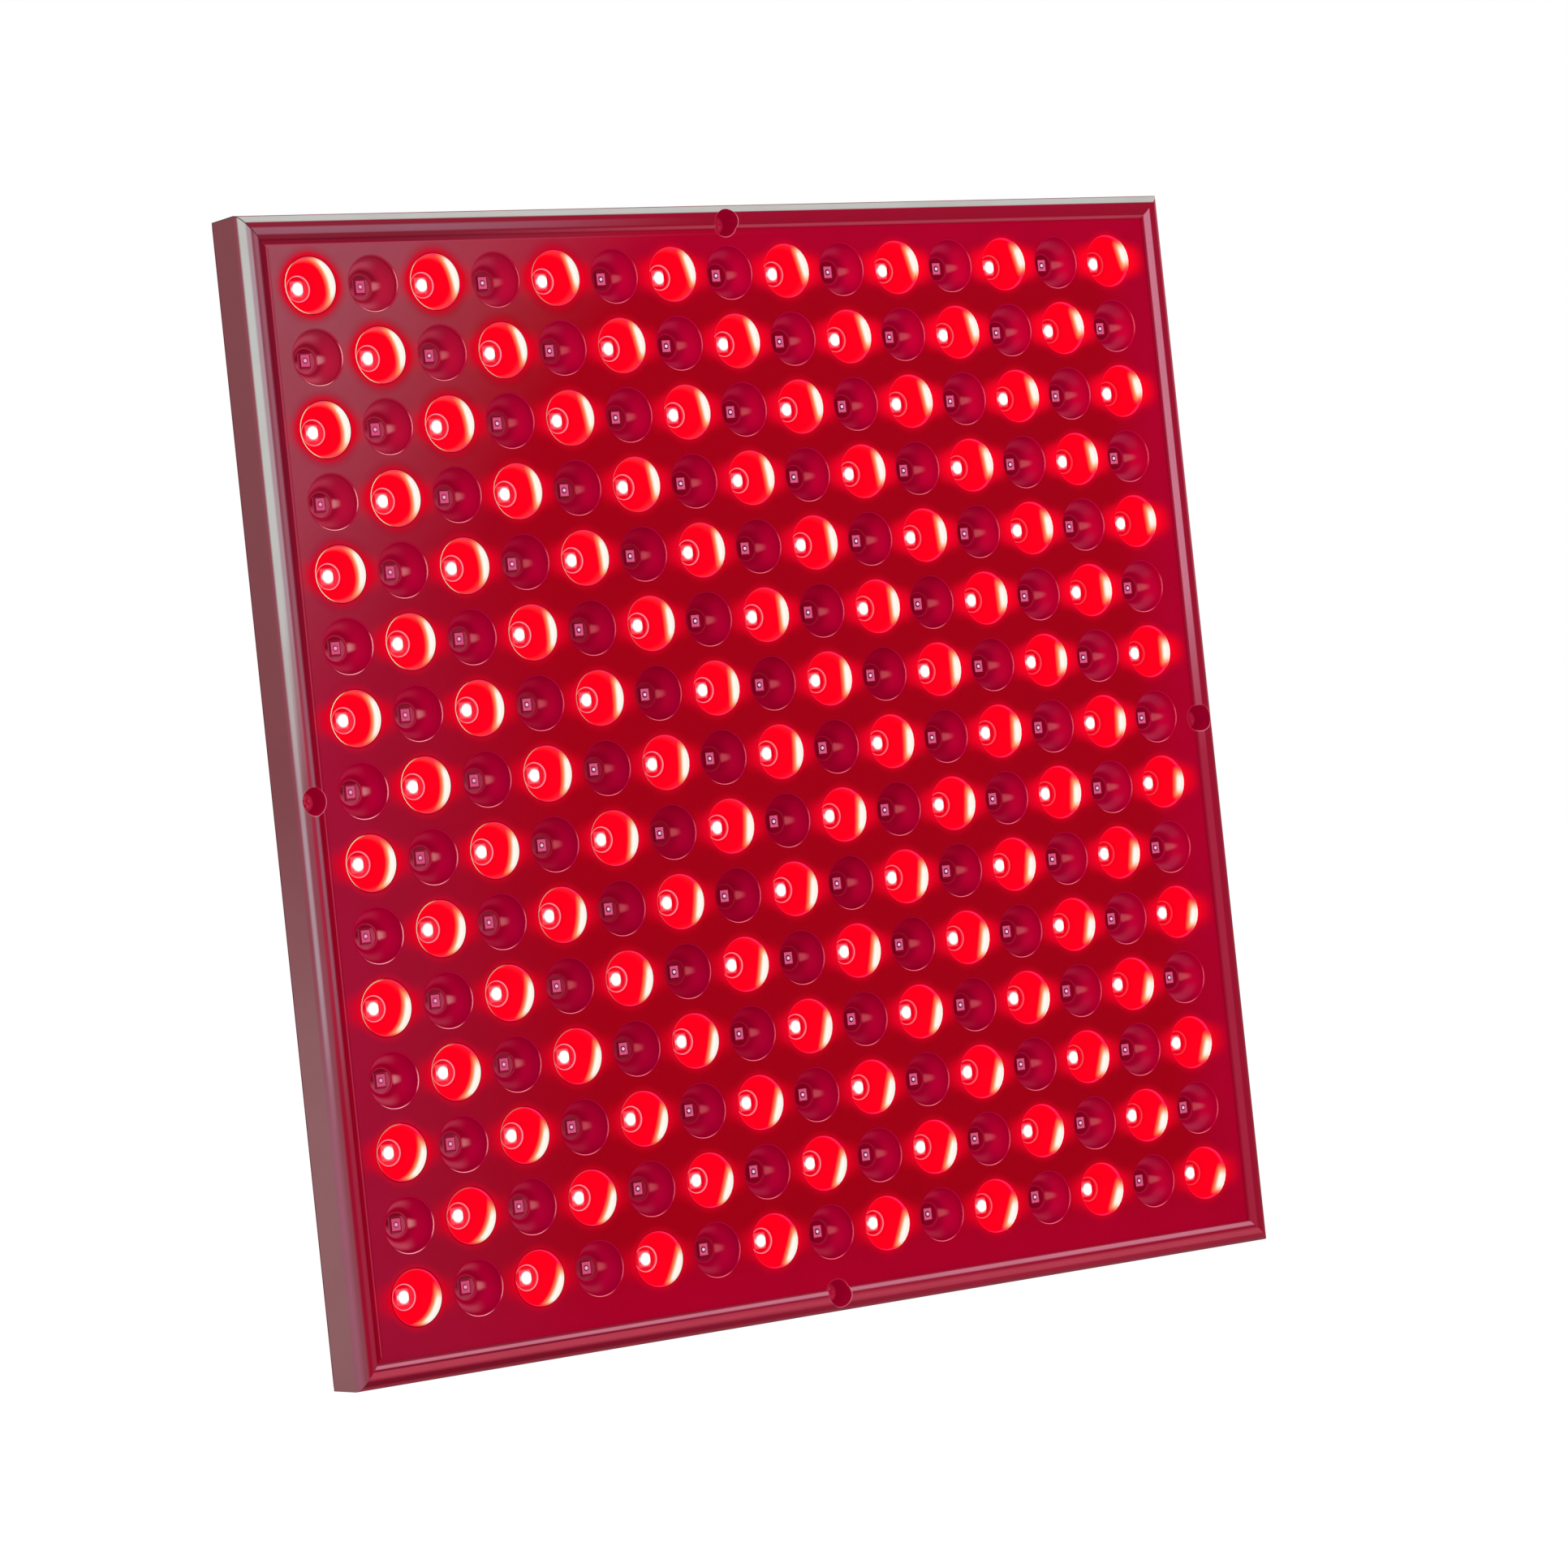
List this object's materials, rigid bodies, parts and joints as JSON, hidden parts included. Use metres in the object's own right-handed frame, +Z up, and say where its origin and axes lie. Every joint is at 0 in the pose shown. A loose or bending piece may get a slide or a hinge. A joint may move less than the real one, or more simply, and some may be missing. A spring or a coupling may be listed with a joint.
{
  "type": "red light therapy panel",
  "caption": "Square upright light therapy panel: a grid of lamps in tapering reflector cups, in a slim frame with a rear driver box, power inlet and rocker switch.",
  "frame": {"origin": "bottom centre of the whole panel's box, driver box included", "axes": "+Z up, lamps face -Y, +X to the right when one looks at the lamps from the front"},
  "size_m": [0.31, 0.035, 0.31],
  "materials": {
    "frame_finish": "deep red satin coat on the frame bars",
    "reflector_plastic": "crimson moulded reflector",
    "board_aluminium": "plain lamp board",
    "key_steel": "plain metal",
    "red_lamp": "lit lamp",
    "infrared_lamp": "lamp package that shows no visible light",
    "dark_screw": "dark screws",
    "nut_steel": "bright threaded nuts",
    "cover_finish": "deep red satin coat on sheet",
    "box_plastic": "fine-grained moulding",
    "inlet_plastic": "black moulding",
    "rocker_plastic": "black moulding",
    "connector_plastic": "pale moulding",
    "rubber_bush": "soft black rubber",
    "insulation": "thin insulating sheet",
    "circuit_board": "green board",
    "component_plastic": "dark components",
    "lead_covering": "lead insulation"
  },
  "bodies": {
    "panel": {"corner_keys": "key_steel", "cover_screws": "dark_screw", "driver_board": "circuit_board", "driver_box": "box_plastic", "driver_box_screws": "dark_screw", "driver_capacitors": "component_plastic", "driver_heat_sink": "key_steel", "driver_standoffs": "connector_plastic", "driver_transformer": "component_plastic", "frame_bottom": "frame_finish", "frame_left": "frame_finish", "frame_right": "frame_finish", "frame_top": "frame_finish", "front_screws": "dark_screw", "hanging_nuts": "nut_steel", "infrared_leds": "infrared_lamp", "inlet_pins": "key_steel", "insulating_sheet": "insulation", "lead_grommet": "rubber_bush", "led_board": "board_aluminium", "led_connector": "connector_plastic", "led_leads": "lead_covering", "mains_leads": "lead_covering", "power_inlet": "inlet_plastic", "rear_cover": "cover_finish", "red_leds": "red_lamp", "reflector_panel": "reflector_plastic", "screw_posts": "key_steel", "switch_housing": "inlet_plastic"},
    "rocker": {"switch_rocker": "rocker_plastic"}
  },
  "joints": [
    {"name": "switch_rock", "type": "hinge", "parent": "panel", "child": "rocker", "pos_m": [-0.0752, 0.0075, 0.175], "axis": [0, 1, 0], "range_deg": [-24, 0]}
  ]
}
